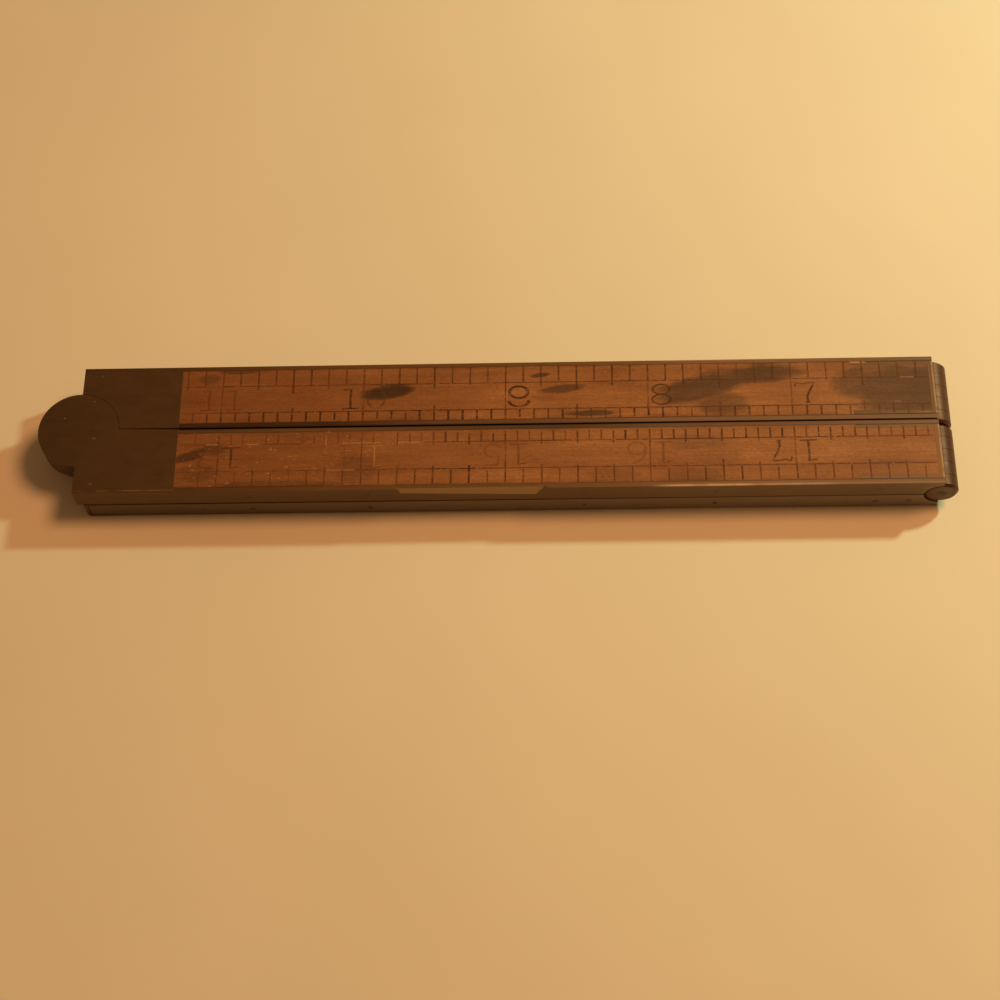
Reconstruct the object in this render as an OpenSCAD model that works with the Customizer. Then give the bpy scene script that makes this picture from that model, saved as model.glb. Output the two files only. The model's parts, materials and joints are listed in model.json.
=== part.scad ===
// Two-foot, four-fold boxwood rule with brass-bound edges, a square five-leaf
// main joint and two knuckle hinges. Drawn folded and lying flat, in millimetres.
// +X runs from the main joint to the knuckle hinges, +Z is up. Legs 2 and 3 lie on
// top, leg 1 under leg 2 and leg 4 under leg 3. The origin is under the middle.

/* [Legs] */
// Main joint axis to knuckle hinge axis: six inches
leg_len = 152.4; // [140:0.1:180]
// Width over both legs when folded: one inch
closed_w = 25.4; // [24:0.1:32]
// Thickness of one leg
leg_t = 4.35; // [4:0.05:5.5]
// Gap between the two folded pairs, side by side
side_gap = 0.25; // [0.15:0.05:0.5]
// Gap between the two layers
layer_gap = 0.25; // [0.15:0.05:0.4]

/* [Brass binding] */
// Thickness of the strip along each edge
binding_t = 0.85; // [0.6:0.05:1.1]
// Radius of the pins that hold the strips
binding_pin_r = 0.45; // [0.3:0.05:0.6]
// Length of those pins
binding_pin_len = 3.2; // [2:0.1:4]
// Length of the bevelled thumb grip on leg 3
grip_len = 26; // [10:0.1:40]
// Height of the thumb grip
grip_h = 2.2; // [1:0.1:3]

/* [Main joint] */
// Radius of the joint's round head
disc_r = 7.25; // [6.5:0.05:8]
// Length of the square plates
plate_len = 18; // [16:0.1:24]
// Radius of the joint pin
joint_pin_r = 1.8; // [1.2:0.1:2.5]
// Radius of the pin's countersunk head
joint_head_r = 2.5; // [2.4:0.1:3]

/* [Knuckle hinges] */
// Radius of the barrel
knuckle_r = 3; // [2.4:0.1:3.4]
// Thickness of the yoke's arms, inside the bindings
arm_t = 0.85; // [0.6:0.05:1.2]
// Length of the arms, from the hinge axis
arm_len = 14.7; // [13:0.1:20]
// Thickness of the yoke's end plate
end_plate_t = 0.9; // [0.7:0.05:1.2]
// Radius of the hinge pin
hinge_pin_r = 0.9; // [0.6:0.05:1.2]

/* [End tips] */
// Length of the tip's flanges
tip_len = 5.2; // [3:0.1:8]
// Thickness of the flanges
tip_t = 0.5; // [0.4:0.05:0.8]
// Rounding of the worn outer corner
tip_round = 0.8; // [0.5:0.1:1.5]

/* [Hidden] */
$fn = 96;

// Colours: stained boxwood, patinated brass and dull steel
WOOD = [0.53, 0.30, 0.13];
BINDING = [0.36, 0.24, 0.12];
BRASS = [0.30, 0.19, 0.09];
STEEL = [0.42, 0.39, 0.36];

leg_w = (closed_w - side_gap) / 2;
leaf_t = leg_t / 5;          // the joint is a stack of five equal leaves
end_gap = 0.05;              // each leg's end stands this far from the end it meets
press = 0.02;                // radial room around a rivet or a fixed pin
run = 0.05;                  // radial room around a turning pin
leaf_run = 0.025;            // each side of a turning leaf
swing = 0.06;                // room around a round head or barrel that turns
cut = 1;                     // how far a cutting tool passes the faces it opens
free_end_x = 1.1;            // wear at the free ends of legs 1 and 4
tip_plate_t = 0.7;
rivet_r = 0.6;
tongue_inset = 0.35;         // from a joint leaf's tongue to the binding beside it
tongue_x = 4;                // where the tongue leaves the round head
plate_lip = 0.35;            // outer binding left showing beside the square plates
end_round = 0.8;             // worn end of the plates at the inner face
binding_pin_x = [31, 52, 90, 113];
yoke_rivet_x = [141.2, 147];
joint_rivet_at = [[9.6, 6.3], [15, 3.2], [15, 9.4]];
tip_rivet_y = [3.6, 9];
closing_pin_x = 129;
closing_pin_r = 0.7;
closing_pin_out = 1.25;      // depth of its hole in leg 3
closing_pin_in = 4;
grip_x = 69.9;               // middle of the thumb grip
grip_slope = [0.9, 1.5];     // run of each end of the grip
grip_depth = 0.25;
grip_tilt = 2.4;             // the filed grip deepens away from the joint
knuckles = 5;
knuckle_gap = 0.06;
knuckle_round = 0.45;
barrel_inset = 0.1;
barrel_w = leg_w - 2 * barrel_inset;
knuckle_w = (barrel_w - (knuckles - 1) * knuckle_gap) / knuckles;
layer_z = leg_t + layer_gap / 2;                  // height of the plane between the layers
middle_x = (leg_len + knuckle_r - disc_r) / 2;    // middle of the folded length, from the joint
yoke_end_x = leg_len - end_gap;
wood_end_x = yoke_end_x - end_plate_t;
arm_x = leg_len - arm_len;

// Puts a leg's own frame in place. In it x runs from the joint to the hinge, y from the
// inner edge to the outer edge, and z from the inner face to the outer face.
module at_leg(n) {
    translate([-middle_x, 0, layer_z])
        mirror([0, n > 2 ? 1 : 0, 0])
            mirror([0, 0, n == 1 || n == 4 ? 1 : 0])
                translate([0, side_gap / 2, layer_gap / 2])
                    children();
}

// A bar along y in the leg's frame, from y0 to y1
module y_bar(x, z, r, y0, y1, r_end = -1) {
    translate([x, y0, z])
        rotate([-90, 0, 0])
            cylinder(h = y1 - y0, r1 = r, r2 = r_end < 0 ? r : r_end);
}

// A pin through the leg's thickness
module z_pin(at, r, extra = 0) {
    translate([at[0], at[1], -extra])
        cylinder(h = leg_t + 2 * extra, r = r);
}

// Space of one joint leaf: level 0 is at the inner face and level 4 at the outer face
module leaf_slab(level, x0, x1, y0, y1) {
    translate([x0, y0, level * leaf_t])
        cube([x1 - x0, y1 - y0, leaf_t]);
}

// ---- Main joint ----

// Round room that the joint's heads turn in, at every level
module joint_room() {
    translate([0, -side_gap / 2, -cut])
        cylinder(h = leg_t + 2 * cut, r = disc_r + swing);
}

// Square plate that covers a leg's end at one level, with its end rounded at the inner face
module square_plate(level) {
    difference() {
        leaf_slab(level, end_gap, plate_len, 0, leg_w - plate_lip);
        if (level == 0)
            translate([end_gap, -cut, -cut])
                difference() {
                    cube([end_round, leg_w + 2 * cut, end_round + cut]);
                    translate([end_round, -cut, end_round + cut])
                        rotate([-90, 0, 0])
                            cylinder(h = leg_w + 4 * cut, r = end_round);
                }
    }
}

// Tongue that holds an inner leaf in its leg, between the bindings
module tongue(level) {
    leaf_slab(level, tongue_x, plate_len, binding_t + tongue_inset, leg_w - binding_t - tongue_inset);
}

// Round head of a leaf, thinned where it turns between two others
module head(level) {
    low = level == 0 ? 0 : leaf_run;
    high = level == 4 ? 0 : leaf_run;
    translate([0, -side_gap / 2, level * leaf_t + low])
        cylinder(h = leaf_t - low - high, r = disc_r);
}

module joint_rivet_holes() {
    for (at = joint_rivet_at)
        z_pin(at, rivet_r + press, cut);
}

module joint_bore(room) {
    translate([0, -side_gap / 2, -cut])
        cylinder(h = leg_t + 2 * cut, r = joint_pin_r + room);
}

// Countersink for the pin's head, at both faces
module joint_countersinks(room) {
    depth = joint_head_r - joint_pin_r;
    translate([0, -side_gap / 2, leg_t - depth])
        cylinder(h = depth, r1 = joint_pin_r + room, r2 = joint_head_r + room);
    translate([0, -side_gap / 2, 0])
        cylinder(h = depth, r1 = joint_head_r + room, r2 = joint_pin_r + room);
}

// Cheek of leg 3: a square plate and a round head in one piece
module joint_cheek(level) {
    color(BRASS)
        at_leg(3)
            difference() {
                union() {
                    square_plate(level);
                    head(level);
                }
                joint_rivet_holes();
                joint_bore(press);
                joint_countersinks(press);
            }
}

// Cover plate of leg 2, hollowed round the cheek's head
module joint_cover(level) {
    color(BRASS)
        at_leg(2)
            difference() {
                square_plate(level);
                joint_room();
                joint_rivet_holes();
            }
}

// Inner leaf: a round head on a tongue
module joint_leaf(n, level, room) {
    color(BRASS)
        at_leg(n)
            difference() {
                union() {
                    tongue(level);
                    head(level);
                }
                joint_rivet_holes();
                joint_bore(room);
            }
}

module joint_pin() {
    color(STEEL)
        at_leg(3)
            union() {
                translate([0, -side_gap / 2, 0])
                    cylinder(h = leg_t, r = joint_pin_r);
                joint_countersinks(0);
            }
}

module joint_rivets(n) {
    color(BRASS)
        at_leg(n)
            for (at = joint_rivet_at)
                z_pin(at, rivet_r);
}

// ---- Knuckle hinges ----

// Knuckle number i of the barrel, counted from the inner edge
module knuckle(i, r, grow) {
    y0 = barrel_inset + i * (knuckle_w + knuckle_gap) - grow;
    y1 = y0 + knuckle_w + 2 * grow;
    z = -layer_gap / 2;
    if (grow > 0) {
        y_bar(leg_len, z, r, y0, y1);
    } else {
        low = i == 0 ? knuckle_round : 0;
        high = i == knuckles - 1 ? knuckle_round : 0;
        y_bar(leg_len, z, r, y0 + low, y1 - high);
        if (low > 0)
            y_bar(leg_len, z, r - low, y0, y0 + low, r);
        if (high > 0)
            y_bar(leg_len, z, r, y1 - high, y1, r - high);
    }
}

// The yoke before its knuckles: an arm inside each binding and a plate across the end
module yoke_block() {
    translate([wood_end_x, binding_t, 0])
        cube([end_plate_t, leg_w - 2 * binding_t, leg_t]);
    for (y = [binding_t, leg_w - binding_t - arm_t])
        translate([arm_x, y, 0])
            cube([arm_len - end_gap, arm_t, leg_t]);
}

// Room for the arms in the wood
module arm_room() {
    for (y = [binding_t - cut, leg_w - binding_t - arm_t])
        translate([arm_x, y, -cut])
            cube([arm_len + cut, arm_t + cut, leg_t + 2 * cut]);
}

module barrel_room() {
    y_bar(leg_len, -layer_gap / 2, knuckle_r + swing, -cut, leg_w + cut);
}

module yoke_rivet_holes() {
    for (x = yoke_rivet_x)
        y_bar(x, leg_t / 2, rivet_r + press, -cut, leg_w + cut);
}

// Yoke: arms along both edges, an end plate, and every second knuckle from first
module hinge_yoke(n, first, room) {
    color(BRASS)
        at_leg(n)
            difference() {
                union() {
                    difference() {
                        yoke_block();
                        barrel_room();
                    }
                    intersection() {
                        yoke_block();
                        for (i = [first:2:knuckles - 1])
                            knuckle(i, knuckle_r + 2 * swing, 0);
                    }
                    for (i = [first:2:knuckles - 1])
                        knuckle(i, knuckle_r, 0);
                }
                for (i = [1 - first:2:knuckles - 1])
                    knuckle(i, knuckle_r + swing, knuckle_gap);
                y_bar(leg_len, -layer_gap / 2, hinge_pin_r + room, -cut, leg_w + cut);
                yoke_rivet_holes();
            }
}

module yoke_rivets(n) {
    color(BRASS)
        at_leg(n)
            for (x = yoke_rivet_x)
                y_bar(x, leg_t / 2, rivet_r, 0, leg_w);
}

module hinge_pin(n) {
    color(STEEL)
        at_leg(n)
            y_bar(leg_len, -layer_gap / 2, hinge_pin_r, barrel_inset, leg_w - barrel_inset);
}

// ---- End tips ----

// Channel folded over the free end, with its worn outer corner rounded
module tip_block() {
    length = tip_len;
    translate([free_end_x, 0, 0])
        difference() {
            cube([length, leg_w, leg_t]);
            translate([tip_plate_t, -cut, tip_t])
                cube([length, leg_w + 2 * cut, leg_t - 2 * tip_t]);
        }
}

// Room for the tip's flanges
module tip_room() {
    for (z = [-cut, leg_t - tip_t])
        translate([0, -cut, z])
            cube([free_end_x + tip_len, leg_w + 2 * cut, tip_t + cut]);
}

module tip_corner() {
    translate([free_end_x, -cut, leg_t - tip_round])
        difference() {
            translate([-cut, 0, 0])
                cube([tip_round + cut, leg_w + 2 * cut, tip_round + cut]);
            translate([tip_round, 0, 0])
                rotate([-90, 0, 0])
                    cylinder(h = leg_w + 2 * cut, r = tip_round);
        }
}

module tip_rivet_holes() {
    for (y = tip_rivet_y)
        z_pin([free_end_x + tip_len * 0.6, y], rivet_r + press, cut);
}

module end_tip(n) {
    color(BRASS)
        at_leg(n)
            difference() {
                tip_block();
                tip_corner();
                tip_rivet_holes();
            }
}

module tip_rivets(n) {
    color(BRASS)
        at_leg(n)
            for (y = tip_rivet_y)
                z_pin([free_end_x + tip_len * 0.6, y], rivet_r);
}

// ---- Bindings, their pins and the closing pin ----

function is_free(n) = n == 1 || n == 4;

// Start of the wood and the bindings, at the joint or inside the end tip
function start_x(n) = is_free(n) ? free_end_x + tip_plate_t : end_gap;

module binding_pin_set(r, y_extra) {
    for (x = binding_pin_x) {
        y_bar(x, leg_t / 2, r, -y_extra, binding_pin_len);
        y_bar(x, leg_t / 2, r, leg_w - binding_pin_len, leg_w + y_extra);
    }
}

// What the brass fittings take out of leg n's wood and bindings
module fittings_room(n) {
    barrel_room();
    yoke_rivet_holes();
    if (is_free(n)) {
        tip_room();
        tip_rivet_holes();
    } else {
        joint_room();
        plate_room();
        joint_rivet_holes();
    }
}

// Room for the plates at both faces
module plate_room() {
    for (z = [-cut, leg_t - leaf_t])
        translate([-cut, -cut, z])
            cube([plate_len + cut, leg_w - plate_lip + cut, leaf_t + cut]);
}

// Room for the tongues of the inner leaves: two in leg 2, open to the plates beside
// them, and one in the middle of leg 3
module tongue_room(n) {
    w = leg_w - 2 * (binding_t + tongue_inset);
    translate([tongue_x, binding_t + tongue_inset, 0])
        if (n == 2) {
            for (z = [-cut, leg_t - 2 * leaf_t])
                translate([0, 0, z])
                    cube([plate_len - tongue_x, w, 2 * leaf_t + cut]);
        } else if (n == 3) {
            translate([0, 0, 2 * leaf_t])
                cube([plate_len - tongue_x, w, leaf_t]);
        }
}

// Hole or body of the closing pin, which sits in leg 2 and enters leg 3
module closing_pin_shape(r, y0, y1) {
    y_bar(closing_pin_x, leg_t / 2, r, y0, y1);
}

module closing_holes(n) {
    if (n == 2)
        closing_pin_shape(closing_pin_r + press, -cut, closing_pin_in);
    if (n == 3)
        closing_pin_shape(closing_pin_r + swing, -cut, closing_pin_out + 0.2);
}

// Bevelled cut along the top arris, with sloping ends, in leg 3's outer binding
module thumb_grip() {
    lean = atan(grip_depth / grip_h);
    translate([grip_x, leg_w, leg_t - grip_h])
        rotate([0, grip_tilt, 0])
            rotate([lean, 0, 0])
                rotate([90, 0, 0])
                    translate([0, 0, -cut])
                        linear_extrude(height = cut)
                            polygon([
                                [-grip_len / 2 + grip_slope[0], 0],
                                [grip_len / 2 - grip_slope[1], 0],
                                [grip_len / 2 + grip_slope[1], 2 * grip_h],
                                [-grip_len / 2 - grip_slope[0], 2 * grip_h]
                            ]);
}

module binding(n, y) {
    color(BINDING)
        at_leg(n)
            difference() {
                translate([start_x(n), y, 0])
                    cube([yoke_end_x - start_x(n), binding_t, leg_t]);
                fittings_room(n);
                binding_pin_set(binding_pin_r + press, cut);
                closing_holes(n);
                if (n == 3 && y > 0)
                    thumb_grip();
            }
}

module outer_binding(n) {
    binding(n, leg_w - binding_t);
}

module inner_binding(n) {
    binding(n, 0);
}

module binding_pins(n) {
    color(BRASS)
        at_leg(n)
            binding_pin_set(binding_pin_r, 0);
}

module closing_pin() {
    color(STEEL)
        at_leg(2)
            closing_pin_shape(closing_pin_r, -side_gap - closing_pin_out + 0.2, closing_pin_in);
}

// ---- Wood ----

module boxwood(n) {
    color(WOOD)
        at_leg(n)
            difference() {
                translate([start_x(n), binding_t, 0])
                    cube([wood_end_x - start_x(n), leg_w - 2 * binding_t, leg_t]);
                fittings_room(n);
                binding_pin_set(binding_pin_r + press, cut);
                closing_holes(n);
                arm_room();
                tongue_room(n);
            }
}

boxwood(1);  // leg_1_boxwood
outer_binding(1);  // leg_1_outer_binding
inner_binding(1);  // leg_1_inner_binding
binding_pins(1);  // leg_1_binding_pins
end_tip(1);  // leg_1_end_tip
tip_rivets(1);  // leg_1_tip_rivets
hinge_yoke(1, 1, run);  // leg_1_hinge_yoke
yoke_rivets(1);  // leg_1_yoke_rivets
boxwood(2);  // leg_2_boxwood
outer_binding(2);  // leg_2_outer_binding
inner_binding(2);  // leg_2_inner_binding
binding_pins(2);  // leg_2_binding_pins
hinge_yoke(2, 0, press);  // leg_2_hinge_yoke
yoke_rivets(2);  // leg_2_yoke_rivets
hinge_pin(2);  // rear_hinge_pin
closing_pin();
joint_cover(4);  // joint_top_plate
joint_cover(0);  // joint_under_plate
joint_leaf(2, 3, run);  // joint_second_leaf
joint_leaf(2, 1, run);  // joint_fourth_leaf
joint_rivets(2);  // leg_2_joint_rivets
boxwood(3);  // leg_3_boxwood
outer_binding(3);  // leg_3_outer_binding
inner_binding(3);  // leg_3_inner_binding
binding_pins(3);  // leg_3_binding_pins
hinge_yoke(3, 0, press);  // leg_3_hinge_yoke
yoke_rivets(3);  // leg_3_yoke_rivets
hinge_pin(3);  // front_hinge_pin
joint_cheek(4);  // joint_top_cheek
joint_leaf(3, 2, press);  // joint_middle_leaf
joint_cheek(0);  // joint_under_cheek
joint_pin();
joint_rivets(3);  // leg_3_joint_rivets
boxwood(4);  // leg_4_boxwood
outer_binding(4);  // leg_4_outer_binding
inner_binding(4);  // leg_4_inner_binding
binding_pins(4);  // leg_4_binding_pins
end_tip(4);  // leg_4_end_tip
tip_rivets(4);  // leg_4_tip_rivets
hinge_yoke(4, 1, run);  // leg_4_hinge_yoke
yoke_rivets(4);  // leg_4_yoke_rivets
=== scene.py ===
"""A two-foot, four-fold boxwood rule, folded shut, lying on a pale floor."""

import json
import math
import random

import bmesh
import bpy
from mathutils import Matrix, Vector


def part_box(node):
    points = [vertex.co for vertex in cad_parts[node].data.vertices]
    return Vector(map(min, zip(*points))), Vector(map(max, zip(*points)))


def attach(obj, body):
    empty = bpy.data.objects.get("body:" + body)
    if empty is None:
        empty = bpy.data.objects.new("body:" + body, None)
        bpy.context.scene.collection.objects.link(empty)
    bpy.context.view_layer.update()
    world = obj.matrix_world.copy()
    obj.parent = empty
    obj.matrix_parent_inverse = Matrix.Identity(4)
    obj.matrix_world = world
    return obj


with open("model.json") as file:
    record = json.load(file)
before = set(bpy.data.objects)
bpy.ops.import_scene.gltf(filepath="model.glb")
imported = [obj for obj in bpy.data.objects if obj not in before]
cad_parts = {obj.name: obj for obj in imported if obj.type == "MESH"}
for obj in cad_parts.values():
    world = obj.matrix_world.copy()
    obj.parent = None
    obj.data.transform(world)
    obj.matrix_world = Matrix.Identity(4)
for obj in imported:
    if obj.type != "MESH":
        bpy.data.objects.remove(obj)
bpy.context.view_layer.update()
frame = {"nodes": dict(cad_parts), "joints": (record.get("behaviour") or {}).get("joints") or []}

MM = 0.001
INCH = 25.4 * MM

# ---- Places, from the frame ----

JOINTS = {j["name"]: j for j in frame["joints"]}
PIVOT_X = JOINTS["main_joint"]["pos_m"][0]
HINGE_X = JOINTS["rear_hinge"]["pos_m"][0]
LEGS = (1, 2, 3, 4)
TOP_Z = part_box("leg_2_boxwood")[1][2]
UPPER_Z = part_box("leg_2_boxwood")[0][2]
LOWER_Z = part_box("leg_1_boxwood")[1][2]
MIDDLE_Z = (UPPER_Z + LOWER_Z) / 2
EDGE_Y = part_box("leg_2_outer_binding")[1][1]
INNER_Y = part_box("leg_2_inner_binding")[0][1]
LEG_W = EDGE_Y - INNER_Y
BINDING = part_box("leg_2_inner_binding")[1][1] - INNER_Y
PLATE_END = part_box("joint_top_plate")[1][0] - PIVOT_X
TIP_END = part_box("leg_1_end_tip")[1][0] - PIVOT_X
ARM_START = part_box("leg_2_hinge_yoke")[0][0] - PIVOT_X
HINGE = HINGE_X - PIVOT_X

# ---- Camera, where the photographer stood ----

CAMERA_AT = Vector((0.01186, -0.1637, 0.3058))
CAMERA_PITCH = 1.1054
CAMERA_YAW = -0.0715
CAMERA_ROLL = -0.0765
CAMERA_LENS = 68.89


def make_camera():
    forward = Vector((math.sin(CAMERA_YAW) * math.cos(CAMERA_PITCH),
                      math.cos(CAMERA_YAW) * math.cos(CAMERA_PITCH),
                      -math.sin(CAMERA_PITCH)))
    right = forward.cross(Vector((0, 0, 1))).normalized()
    up = right.cross(forward)
    c, s = math.cos(CAMERA_ROLL), math.sin(CAMERA_ROLL)
    right, up = c * right + s * up, c * up - s * right
    data = bpy.data.cameras.new("camera")
    data.lens = CAMERA_LENS
    data.sensor_width = 36
    data.clip_start = 0.01
    camera = bpy.data.objects.new("camera", data)
    turn = Matrix((right, up, -forward)).transposed().to_4x4()
    camera.matrix_world = Matrix.Translation(CAMERA_AT) @ turn
    bpy.context.scene.collection.objects.link(camera)
    bpy.context.scene.camera = camera


make_camera()

# ---- Materials ----


def srgb(r, g, b):
    """A colour given as 0 to 255 display values."""
    def lin(v):
        v /= 255
        return v / 12.92 if v <= 0.04045 else ((v + 0.055) / 1.055) ** 2.4
    return (lin(r), lin(g), lin(b), 1)


class Paint:
    """A small helper that builds one material's or group's nodes."""

    def __init__(self, tree):
        self.tree = tree

    def add(self, kind, inputs=None, **settings):
        node = self.tree.nodes.new(kind)
        for key, value in settings.items():
            setattr(node, key, value)
        for key, value in (inputs or {}).items():
            self.plug(node.inputs[key], value)
        return node

    def plug(self, socket, value):
        if isinstance(value, bpy.types.NodeSocket):
            self.tree.links.new(value, socket)
        else:
            socket.default_value = value

    def math(self, op, a, b=0.0, c=0.0, clamp=False):
        node = self.tree.nodes.new("ShaderNodeMath")
        node.operation = op
        node.use_clamp = clamp
        for socket, value in zip(node.inputs, (a, b, c)):
            self.plug(socket, value)
        return node.outputs[0]

    def mix(self, factor, a, b, mode="MIX"):
        node = self.tree.nodes.new("ShaderNodeMix")
        node.data_type = "RGBA"
        node.blend_type = mode
        node.clamp_factor = True
        self.plug(node.inputs[0], factor)
        self.plug(node.inputs[6], a)
        self.plug(node.inputs[7], b)
        return node.outputs[2]

    def step(self, value, low, high):
        """0 below low, 1 above high, smooth between. low may be the larger."""
        node = self.tree.nodes.new("ShaderNodeMapRange")
        node.interpolation_type = "SMOOTHSTEP"
        if low > high:
            low, high, out = high, low, (1, 0)
        else:
            out = (0, 1)
        for socket, v in zip(node.inputs, (value, low, high) + out):
            self.plug(socket, v)
        return node.outputs[0]

    def object_place(self):
        return self.tree.nodes.new("ShaderNodeTexCoord").outputs["Object"]

    def stretch(self, place, x, y, z, shift=(0, 0, 0), turn=0.0):
        node = self.add("ShaderNodeMapping", {"Vector": place, "Scale": (x, y, z), "Location": shift})
        node.inputs["Rotation"].default_value = (0, 0, turn)
        return node.outputs[0]

    def noise(self, place, detail=3.0, rough=0.55):
        node = self.add("ShaderNodeTexNoise", {"Vector": place, "Scale": 1.0, "Detail": detail,
                                               "Roughness": rough})
        return node.outputs[0]

    def axes(self, place):
        return self.add("ShaderNodeSeparateXYZ", {"Vector": place}).outputs

    def ramp(self, value, stops):
        node = self.add("ShaderNodeValToRGB", {"Fac": value})
        points = node.color_ramp.elements
        while len(points) < len(stops):
            points.new(0.5)
        for point, (at, colour) in zip(points, stops):
            point.position = at
            point.color = colour
        return node.outputs[0]

    def bump(self, height, strength, distance):
        inputs = {"Height": height, "Strength": strength, "Distance": distance}
        return self.add("ShaderNodeBump", inputs).outputs[0]


def new_material(name):
    material = bpy.data.materials.new(name)
    material.use_nodes = True
    material.node_tree.nodes.clear()
    paint = Paint(material.node_tree)
    shader = paint.add("ShaderNodeBsdfPrincipled")
    out = paint.add("ShaderNodeOutputMaterial")
    material.node_tree.links.new(shader.outputs[0], out.inputs[0])
    return material, paint, shader


# Smudges on the wood: leg, distance from the joint, distance from the inner edge, half
# length, half width (all in mm), tilt in degrees, and strength
STAINS = (
    (2, 54.9, 6.7, 4.9, 1.5, 9, 1.3),
    (2, 28.0, 11.5, 3.6, 0.7, 0, 0.7),
    (2, 82.4, 9.8, 1.8, 0.5, 8, 1.1),
    (2, 86.2, 6.9, 4.2, 0.9, 7, 0.9),
    (2, 91.2, 1.9, 4.8, 0.65, 1, 1.1),
    (2, 111.4, 6.9, 9.4, 2.7, 15, 1.0),
    (2, 121.0, 9.3, 8.6, 2.0, 5, 1.0),
    (2, 115.0, 3.4, 5.2, 2.3, 0, 0.7),
    (2, 147.4, 6.0, 12.0, 5.8, 1, 1.0),
    (2, 139.6, 7.0, 5.6, 3.4, 0, 0.85),
    (2, 23.0, 9.9, 2.0, 1.2, 0, 0.4),
    (3, 20.6, 5.4, 4.0, 1.0, -20, 0.9),
    (3, 24.6, 4.2, 2.2, 1.3, 0, 0.6),
    (3, 22.0, 8.8, 4.0, 2.0, 0, 0.4),
    (3, 36.0, 11.3, 12.0, 0.8, 0, 0.5),
    (3, 50.0, 8.6, 4.0, 3.0, 0, 0.38),
    (3, 109.8, 3.9, 6.5, 1.5, 0, 0.42),
    (3, 113.5, 6.8, 4.5, 2.0, 0, 0.25),
    (3, 94.6, 10.3, 5.0, 1.4, 0, 0.35),
    (3, 109.3, 10.5, 5.0, 1.5, 0, 0.35),
    (1, 40.0, 6.0, 9.0, 2.2, 8, 0.6),
    (1, 118.0, 8.0, 12.0, 2.0, -5, 0.5),
    (4, 70.0, 5.0, 8.0, 1.8, -6, 0.6),
    (4, 25.0, 8.5, 6.0, 1.5, 10, 0.5),
)


# How far the pattern moves from one piece to the next, in mm, so that no two legs are alike
FRONT_SHIFT = 411.0
UPPER_SHIFT = 67.0


def side_of(leg):
    return 1 if leg < 3 else -1


class LegPlace:
    """Where a shaded point lies, in millimetres: s from the joint, w from the inner edge, up."""

    def __init__(self, p):
        x, y, z = p.axes(p.object_place())
        self.s = p.math("MULTIPLY", p.math("SUBTRACT", x, PIVOT_X), 1 / MM)
        self.w = p.math("MULTIPLY", p.math("SUBTRACT", p.math("ABSOLUTE", y), INNER_Y), 1 / MM)
        self.up = p.math("MULTIPLY", z, 1 / MM)
        self.front = p.math("LESS_THAN", y, 0.0)
        self.upper = p.math("GREATER_THAN", z, MIDDLE_Z)
        # Each leg is a different piece of wood or brass, so each is moved in the pattern
        along = p.math("MULTIPLY_ADD", self.front, FRONT_SHIFT, self.s)
        across = p.math("MULTIPLY", y, 1 / MM)
        high = p.math("MULTIPLY_ADD", self.upper, UPPER_SHIFT, self.up)
        self.point = p.add("ShaderNodeCombineXYZ", {"X": along, "Y": across, "Z": high}).outputs[0]


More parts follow.
